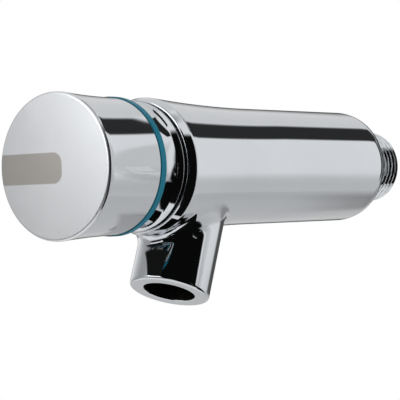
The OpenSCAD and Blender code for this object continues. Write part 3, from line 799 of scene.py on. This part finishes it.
grey = finish("grey_plastic", (0.12, 0.13, 0.14), (0.16, 0.17, 0.18), (0.4, 0.55), 0.0, 200.0,
              grain=(1800.0, 0.00003))
fibre = finish("fibre_gasket", (0.2, 0.045, 0.025), (0.3, 0.07, 0.04), (0.7, 0.85), 0.0, 700.0,
               grain=(1500.0, 0.00008))


# Button face: fine satin metal with a plain matt strip from its edge to just past the middle
strip_half = 3.8
strip_end = 3.0
strip_corner = 2.7
strip_low = 0.36
strip_turn = math.radians(2.85)
strip_edge = 0.12
strip_colour = (0.42, 0.4, 0.38)
face_dark, face_light = (0.68, 0.695, 0.715), (0.72, 0.735, 0.755)
face_rough = (0.36, 0.42)
face_cloud_scale = 40.0
face_gloss_scale = 300.0
face_grain_scale = 4000.0
face_grain_depth = 0.02
face_grain_strength = 0.3


def satin_face():
    """The strip is a rounded outline, by its distance in the face's own plane."""
    material, tree, shader = new_material("satin_face")
    place = add(tree, "ShaderNodeTexCoord").outputs["Object"]
    level = add(tree, "ShaderNodeMapping", {
        "Vector": place, "Location": (0, 0, strip_low * MM), "Rotation": (0, -strip_turn, 0),
    })
    split = add(tree, "ShaderNodeSeparateXYZ", {"Vector": level.outputs["Vector"]})

    def maths(kind, a, b=0.0):
        return add(tree, "ShaderNodeMath", {0: a, 1: b}, operation=kind).outputs["Value"]

    def beyond(value, limit):
        return maths("MAXIMUM", maths("SUBTRACT", value, limit * MM), 0.0)

    along = beyond(split.outputs["X"], strip_end - strip_corner)
    across = beyond(maths("ABSOLUTE", split.outputs["Z"]), strip_half - strip_corner)
    square = maths("ADD", maths("MULTIPLY", along, along), maths("MULTIPLY", across, across))
    edge_in, edge_out = (strip_corner - strip_edge) * MM, (strip_corner + strip_edge) * MM
    strip = spread(tree, maths("SQRT", square), 1, 0, edge_in, edge_out)
    base = tinted(tree, spread(tree, noise(tree, face_cloud_scale), 0, 1), face_dark, face_light)
    mix = add(tree, "ShaderNodeMix", data_type="RGBA")
    tree.links.new(strip, mix.inputs["Factor"])
    tree.links.new(base, mix.inputs[MIX_A])
    mix.inputs[MIX_B].default_value = (*strip_colour, 1)
    tree.links.new(mix.outputs[MIX_RESULT], shader.inputs["Base Color"])
    shader.inputs["Metallic"].default_value = 1.0
    gloss = spread(tree, noise(tree, face_gloss_scale), *face_rough)
    tree.links.new(gloss, shader.inputs["Roughness"])
    grain = noise(tree, face_grain_scale, GRAIN_DETAIL)
    bump(tree, shader, grain, face_grain_depth * MM, face_grain_strength)
    return material


make_body(chrome, raw_bore_painted_shade)
make_collar(collar_chrome, raw_bore_painted_shade)
make_button(side_chrome, satin_face())
make_colour_ring(blue)
make_spring(spring_steel)

node_finish = {
    "guide_ring": pale, "head_gasket": fibre, "timing_cylinder": grey, "cartridge_seal": rubber,
    "stem_bush": pale, "stem_seal": rubber, "cylinder_cap": pale, "cap_seal": rubber,
    "bleed_pin": steel, "valve_cage": grey, "valve_seat": steel, "seat_seal": rubber,
    "inlet_strainer": steel, "strainer_ring": rubber, "flow_regulator": pale,
    "regulator_seal": rubber, "jet_straightener": grey, "outlet_clip": steel, "button_hub": pale,
    "stem_nut": brass, "stem": brass, "piston": pale, "piston_seal": rubber, "piston_clip": steel,
    "valve_head": brass, "valve_washer": rubber, "valve_nut": brass,
}
for name, material in node_finish.items():
    mesh = frame["nodes"][name].data
    mesh.materials.clear()
    mesh.materials.append(material)

# Camera, placed as the photograph was taken: in front of the tap, to its right, a little below its axis
camera_place = Vector((286.3, -427.1, -25.0)) * MM
camera_ahead = Vector((-0.6257, 0.7781, 0.0547))
camera_up = Vector((0.0872, 0.0, 0.9962))
camera_focal_px = 1702.74
image_px = 400
axis_row_px = 166.5

camera_data = bpy.data.cameras.new("camera")
camera_data.sensor_width = 36
camera_data.lens = camera_focal_px * camera_data.sensor_width / image_px
tilt = math.atan((image_px / 2 - axis_row_px) / camera_focal_px)
camera = bpy.data.objects.new("camera", camera_data)
bpy.context.scene.collection.objects.link(camera)
right = camera_ahead.cross(camera_up).normalized()
back = Matrix.Rotation(-tilt, 3, right) @ -camera_ahead.normalized()
upright = back.cross(right)
turned_to = Matrix((right, upright, back)).transposed().to_4x4()
camera.matrix_world = Matrix.Translation(camera_place) @ turned_to
bpy.context.scene.camera = camera

# World: white for the camera and in reflections, softer as a light
world_light = 0.75


def make_world():
    world = bpy.data.worlds.new("studio")
    bpy.context.scene.world = world
    world.use_nodes = True
    tree = world.node_tree
    path = add(tree, "ShaderNodeLightPath")
    seen = path.outputs["Is Camera Ray"]
    for kind in ("Is Glossy Ray", "Is Transmission Ray"):
        either = add(tree, "ShaderNodeMath", {0: seen, 1: path.outputs[kind]}, operation="MAXIMUM")
        seen = either.outputs["Value"]
    background = tree.nodes["Background"]
    background.inputs["Color"].default_value = (1, 1, 1, 1)
    tree.links.new(spread(tree, seen, world_light, 1.0, 0, 1), background.inputs["Strength"])


# Stage: a pale floor, dark, grey and light cards that only reflections show, and one soft lamp
floor_z = -150.0
floor_r = 900.0
floor_fade = 200.0
floor_tone = 0.8
floor_rough = 0.9
ceiling_z = 500.0
card_foot = floor_z + 1
stage_centre = np.array([0.0, -60.0, 0.0])


def stage_piece(name, points, faces, material):
    mesh = bpy.data.meshes.new(name)
    mesh.from_pydata((points * MM).tolist(), [], faces)
    mesh.materials.append(material)
    piece = bpy.data.objects.new(name, mesh)
    bpy.context.scene.collection.objects.link(piece)
    return piece


def floor_material():
    """Matt pale floor that fades into the white surroundings towards its rim."""
    material, tree, shader = new_material("pale_floor")
    shader.inputs["Base Color"].default_value = (floor_tone, floor_tone, floor_tone, 1)
    shader.inputs["Roughness"].default_value = floor_rough
    place = add(tree, "ShaderNodeTexCoord").outputs["Object"]
    distance = add(tree, "ShaderNodeVectorMath", {0: place}, operation="LENGTH").outputs["Value"]
    fade = add(tree, "ShaderNodeMapRange", {
        "Value": distance, "From Min": floor_fade * MM, "From Max": floor_r * MM,
    }, interpolation_type="SMOOTHSTEP").outputs["Result"]
    clear = add(tree, "ShaderNodeBsdfTransparent")
    mix = add(tree, "ShaderNodeMixShader", {0: fade, 1: shader.outputs[0], 2: clear.outputs[0]})
    tree.links.new(mix.outputs[0], tree.nodes["Material Output"].inputs["Surface"])
    return material


def make_floor(around=96):
    theta = np.arange(around) * 2 * math.pi / around
    rim = np.stack([floor_r * np.cos(theta), floor_r * np.sin(theta), 0 * theta], -1)
    piece = stage_piece("floor", rim, [list(range(around))], floor_material())
    piece.location = (stage_centre + (0, 0, floor_z)) * MM


def card_material(name, radiance, seen_from):
    """An even tone whose cover fades out at the edges; it may show from above or from below only."""
    material = bpy.data.materials.new(name)
    material.use_nodes = True
    tree = material.node_tree
    tree.nodes.clear()
    cover = add(tree, "ShaderNodeAttribute", attribute_name="cover").outputs["Fac"]
    if seen_from:
        below = add(tree, "ShaderNodeNewGeometry").outputs["Backfacing"]
        shows = spread(tree, below, seen_from == "above", seen_from == "below", 0, 1)
        both = add(tree, "ShaderNodeMath", {0: cover, 1: shows}, operation="MULTIPLY")
        cover = both.outputs["Value"]
    tone = add(tree, "ShaderNodeEmission", {"Color": (1, 1, 1, 1), "Strength": radiance})
    clear = add(tree, "ShaderNodeBsdfTransparent")
    mix = add(tree, "ShaderNodeMixShader", {0: cover, 1: clear.outputs[0], 2: tone.outputs[0]})
    output = add(tree, "ShaderNodeOutputMaterial")
    tree.links.new(mix.outputs[0], output.inputs["Surface"])
    return material


def ramp(value, low, high, soft):
    """One inside a range, falling to nothing over a soft margin inside its ends."""
    rise = np.clip((value - low) / soft, 0, 1)
    fall = np.clip((high - value) / soft, 0, 1)
    return rise * rise * (3 - 2 * rise) * fall * fall * (3 - 2 * fall)


def make_card(name, points, cover, radiance, seen_from=None):
    """A card from a grid of points that only reflections show."""
    rows, columns = cover.shape
    number = np.arange(cover.size).reshape(cover.shape)
    faces = [
        [int(number[i, k]), int(number[i + 1, k]), int(number[i + 1, k + 1]), int(number[i, k + 1])]
        for i in range(rows - 1) for k in range(columns - 1)
    ]
    piece = stage_piece(name, points.reshape(-1, 3), faces, card_material(name, radiance, seen_from))
    attribute = piece.data.attributes.new("cover", "FLOAT", "POINT")
    attribute.data.foreach_set("value", cover.ravel())
    piece.visible_camera = False
    piece.visible_diffuse = False
    piece.visible_shadow = False


CARD_ROWS = 48
CARD_COLUMNS = 72


def sky_card(name, azimuth, elevation, soft, distance, radiance):
    """A patch of the surroundings, by its directions from the stage's centre in degrees."""
    el = np.linspace(*elevation, CARD_ROWS)[:, None]
    az = np.linspace(*azimuth, CARD_COLUMNS)[None]
    cover = ramp(el, *elevation, soft) * ramp(az, *azimuth, soft)
    el, az = np.radians(el), np.radians(az)
    ahead = np.stack([np.cos(el) * np.cos(az), np.cos(el) * np.sin(az), np.sin(el) + 0 * az], -1)
    make_card(name, stage_centre + distance * ahead, cover, radiance)


def flat_card(name, x_range, y_range, z, soft, radiance, seen_from=None):
    """A level card over or under the tap, with soft margins across X and Y."""
    x = np.linspace(*x_range, CARD_ROWS)[:, None]
    y = np.linspace(*y_range, CARD_COLUMNS)[None]
    points = np.stack([x + 0 * y, y + 0 * x, z + 0 * x * y], -1)
    cover = ramp(x, *x_range, soft[0]) * ramp(y, *y_range, soft[1])
    make_card(name, points, cover, radiance, seen_from)


def upright_card(name, x, y_range, z_range, soft, radiance, cover_at):
    """An upright card beside the tap, with soft margins along Y; its cover also depends on the height."""
    y = np.linspace(*y_range, CARD_COLUMNS)[None]
    z = np.linspace(*z_range, CARD_ROWS)[:, None]
    points = np.stack([x + 0 * y * z, y + 0 * z, z + 0 * y], -1)
    make_card(name, points, ramp(y, *y_range, soft) * cover_at(z), radiance)


def standing(z, top, soft):
    """Cover of a card that stands on the floor, by height: whole at its foot and soft at its top."""
    return ramp(z, floor_z - soft, top, soft)


# The dark side of the room, round the camera: a screen that stands on the floor, bent round one corner
screen_x = 148.0
screen_rear = -8.0
screen_front = -270.0
screen_left = 35.0
screen_bend = 80.0
screen_top = 200.0
screen_top_soft = 60.0
screen_soft = 10.0
screen_lean = 0.34
screen_radiance = 0.004
foot_top = -60.0
foot_x = 24.0
foot_front = -62.0
foot_rear = 12.0
foot_bend = -80.0


def screen_path(count):
    """Points along the screen's foot, and their distance from its rear end."""
    side = screen_rear - (screen_front + screen_bend)
    bend = screen_bend * math.pi / 2
    front = screen_x - screen_bend - screen_left
    s = np.linspace(0, side + bend + front, count)
    angle = np.clip((s - side) / screen_bend, 0, math.pi / 2)
    x = screen_x - screen_bend * (1 - np.cos(angle)) - np.clip(s - side - bend, 0, None)
    y = screen_rear - np.clip(s, 0, side) - screen_bend * np.sin(angle)
    return x, y, s


def make_dark_side():
    x, y, s = screen_path(CARD_COLUMNS)
    z = np.linspace(card_foot, screen_top, CARD_ROWS)[:, None]
    points = np.stack([x + 0 * z, y + 0 * z, z + 0 * x], -1)
    cover = ramp(s, 0, s[-1], screen_soft) * standing(z, screen_top, screen_top_soft)
    make_card("dark_side", points, cover, screen_radiance)


def make_dark_right():
    """Low part of the dark side that reaches further back, and leans in, towards the floor."""
    z = np.linspace(card_foot, 0, CARD_ROWS)[:, None]
    u = np.linspace(0, 1, CARD_COLUMNS)[None]
    bend = screen_rear - screen_lean * foot_bend
    rear = np.interp(z, [floor_z, foot_bend, 0], [foot_rear, bend, screen_rear])
    y = foot_front + u * (rear - foot_front)
    x = np.interp(z, [floor_z, foot_top], [foot_x, screen_x])
    points = np.stack([x + 0 * y, y, z + 0 * y], -1)
    cover = ramp(y, foot_front, rear, screen_soft)
    make_card("dark_right", points, cover, screen_radiance)


# Grey walls to the left of the button and to the right of the barrel, a grey screen in front of the
# right wall, and a dark one close to the inlet thread
left_x = -160.0
left_y = (-380.0, 0.0)
left_top = 260.0
left_soft = 160.0
low_x = 105.0
low_y = (0.0, 420.0)
low_top = -8.0
low_soft = 115.0
near_y = (-30.0, 24.0)
near_soft = 10.0
near_heights = (-62.0, -52.0, -45.0, -5.0, 50.0, 80.0)
near_covers = (0.0, 1.0, 1.0, 0.53, 0.53, 0.0)
beside_x = 22.0
beside_y = (9.0, 40.0)
beside_z = (-14.0, 22.0)
beside_soft = 5.0


def make_side_walls():
    upright_card("grey_left", left_x, left_y, (card_foot, left_top), left_soft, radiance=0.44,
                 cover_at=lambda z: standing(z, left_top, left_soft))
    upright_card("grey_low", low_x, low_y, (card_foot, low_top), low_soft, radiance=0.7,
                 cover_at=lambda z: standing(z, low_top, low_soft))
    upright_card("grey_near", low_x, near_y, (near_heights[0], near_heights[-1]), near_soft,
                 radiance=0.6, cover_at=lambda z: np.interp(z, near_heights, near_covers))
    upright_card("dark_beside", beside_x, beside_y, beside_z, beside_soft, radiance=0.03,
                 cover_at=lambda z: ramp(z, *beside_z, beside_soft))


def make_overhead():
    """Dark beams and a grey field above the tap, which the tops of its round pieces show."""
    flat_card("dark_overhead", x_range=(17, 440), y_range=(470, 1300), z=ceiling_z, soft=(70, 30),
              radiance=0.034)
    flat_card("dark_bar", x_range=(-10, 490), y_range=(280, 405), z=ceiling_z, soft=(20, 18),
              radiance=0.02)
    flat_card("dark_beam", x_range=(-60, 300), y_range=(-40, 190), z=ceiling_z, soft=(30, 20),
              radiance=0.02)
    flat_card("grey_overhead", x_range=(-900, 60), y_range=(-400, 1500), z=ceiling_z + 20, soft=(60, 200),
              radiance=0.82)


def make_underneath():
    """Dark and light parts of the floor, among them a painted shadow behind the tap, and two small cards
    close under the button, the near-black one painted shade.
    """
    flat_card("dark_front", x_range=(-900, 100), y_range=(-900, -250), z=floor_z + 2, soft=(40, 50),
              radiance=0.02)
    # Painted shadow: the floor behind the tap, darkened where the backdrop's shade falls; only
    # reflections show it.
    flat_card("dark_rear", x_range=(-70, 104), y_range=(130, 520), z=floor_z + 2, soft=(60, 90),
              radiance=0.35)
    # Painted shade: a near-black sheet in the empty space under the button, standing in for the shade
    # there; only reflections show it.
    flat_card("dark_under", x_range=(-8, 8), y_range=(-109, -95.5), z=-18.9, soft=(1.5, 1.5),
              radiance=0.01, seen_from="below")
    flat_card("grey_under", x_range=(-6, 13.5), y_range=(-112, -98.5), z=-19.2, soft=(3, 3),
              radiance=0.45, seen_from="above")
    flat_card("light_floor", x_range=(-220, 170), y_range=(-230, 5), z=floor_z + 3, soft=(50, 40),
              radiance=1.0)
    flat_card("dark_foot", x_range=(76, 175), y_range=(-235, 10), z=floor_z + 4, soft=(10, 10),
              radiance=screen_radiance)


def make_lamp(name, place, size, radiance):
    """A square soft lamp that faces the tap."""
    data = bpy.data.lights.new(name, "AREA")
    data.size = size * MM
    data.energy = radiance * math.pi * (size * MM) ** 2
    lamp = bpy.data.objects.new(name, data)
    lamp.location = Vector(place) * MM
    facing = Vector(stage_centre * MM) - lamp.location
    lamp.rotation_euler = facing.to_track_quat("-Z", "Y").to_euler()
    bpy.context.scene.collection.objects.link(lamp)


make_world()
make_floor()
make_dark_side()
make_dark_right()
make_side_walls()
make_overhead()
make_underneath()
sky_card("dark_behind", azimuth=(74, 154), elevation=(-22, 28), soft=14, distance=800, radiance=0.1)
make_lamp("key_lamp", place=(-60, -420, 140), size=250, radiance=2.0)

bpy.context.scene.view_settings.view_transform = "Standard"
